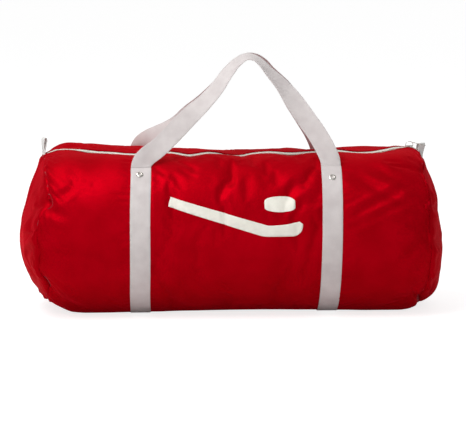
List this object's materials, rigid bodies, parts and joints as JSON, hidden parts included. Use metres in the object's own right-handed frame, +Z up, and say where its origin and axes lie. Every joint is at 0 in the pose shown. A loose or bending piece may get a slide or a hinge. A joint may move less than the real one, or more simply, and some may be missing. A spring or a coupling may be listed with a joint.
{
  "type": "hockey equipment bag",
  "caption": "Long barrel-shaped cloth sports bag with a full-length crown zip, riveted girth straps that carry twin webbing handles, and a pull loop at each end.",
  "frame": {"origin": "on the floor under the middle of the bag, which stands on its girth straps", "axes": "+X along the bag towards the end where the closed zip's slider sits, -Y towards the printed front, +Z up"},
  "size_m": [1.067, 0.4544, 0.6642],
  "materials": {
    "cloth": "coated plain-weave nylon cloth",
    "binding": "matt woven tape",
    "webbing": "heavy woven webbing",
    "zip_tape": "fine twill tape",
    "zip_coil": "nylon coil",
    "nickel": "nickel plate, slightly worn",
    "print": "thin screen print"
  },
  "bodies": {
    "shell": {"front_body_panel": "cloth", "rear_body_panel": "cloth", "left_end_panel": "cloth", "right_end_panel": "cloth", "left_seam_binding": "binding", "right_seam_binding": "binding", "base_seam_binding": "binding", "left_girth_strap": "webbing", "right_girth_strap": "webbing", "left_pull_loop": "webbing", "right_pull_loop": "webbing", "front_left_rivet": "nickel", "front_right_rivet": "nickel", "rear_left_rivet": "nickel", "rear_right_rivet": "nickel", "front_left_rivet_washer": "nickel", "front_right_rivet_washer": "nickel", "rear_left_rivet_washer": "nickel", "rear_right_rivet_washer": "nickel", "left_zip_end": "zip_tape", "right_zip_end": "zip_tape", "left_zip_stop": "nickel", "right_zip_stop": "nickel", "emblem_stick": "print", "emblem_puck": "print"},
    "front_mouth": {"front_mouth_panel": "cloth", "front_zip_tape": "zip_tape", "front_zip_coil": "zip_coil"},
    "rear_mouth": {"rear_mouth_panel": "cloth", "rear_zip_tape": "zip_tape", "rear_zip_coil": "zip_coil"},
    "front_grip": {"front_handle": "webbing"},
    "rear_grip": {"rear_handle": "webbing"},
    "slider": {"zip_slider": "nickel"},
    "puller": {"zip_puller": "nickel"}
  },
  "joints": [
    {"name": "zip_slide", "type": "slide", "parent": "shell", "child": "slider", "axis": [-1, 0, 0], "range_m": [0, 0.868]},
    {"name": "front_mouth_open", "type": "hinge", "parent": "shell", "child": "front_mouth", "pos_m": [0, -0.10762, 0.39114], "axis": [1, 0, 0], "range_deg": [0, 50]},
    {"name": "rear_mouth_open", "type": "hinge", "parent": "shell", "child": "rear_mouth", "pos_m": [0, 0.10762, 0.39114], "axis": [-1, 0, 0], "range_deg": [0, 50]},
    {"name": "front_handle_swing", "type": "hinge", "parent": "shell", "child": "front_grip", "pos_m": [0, -0.14703, 0.37531], "axis": [1, 0, 0], "range_deg": [0, 130]},
    {"name": "rear_handle_swing", "type": "hinge", "parent": "shell", "child": "rear_grip", "pos_m": [0, 0.14703, 0.37531], "axis": [-1, 0, 0], "range_deg": [0, 130]},
    {"name": "puller_flip", "type": "hinge", "parent": "slider", "child": "puller", "pos_m": [0.4566, 0, 0.41547], "axis": [0, -1, 0], "range_deg": [0, 150]}
  ],
  "couplings": [
    {"joint": "front_mouth_open", "follows": "zip_slide", "rad_per_m": 1},
    {"joint": "rear_mouth_open", "follows": "zip_slide", "rad_per_m": 1}
  ]
}
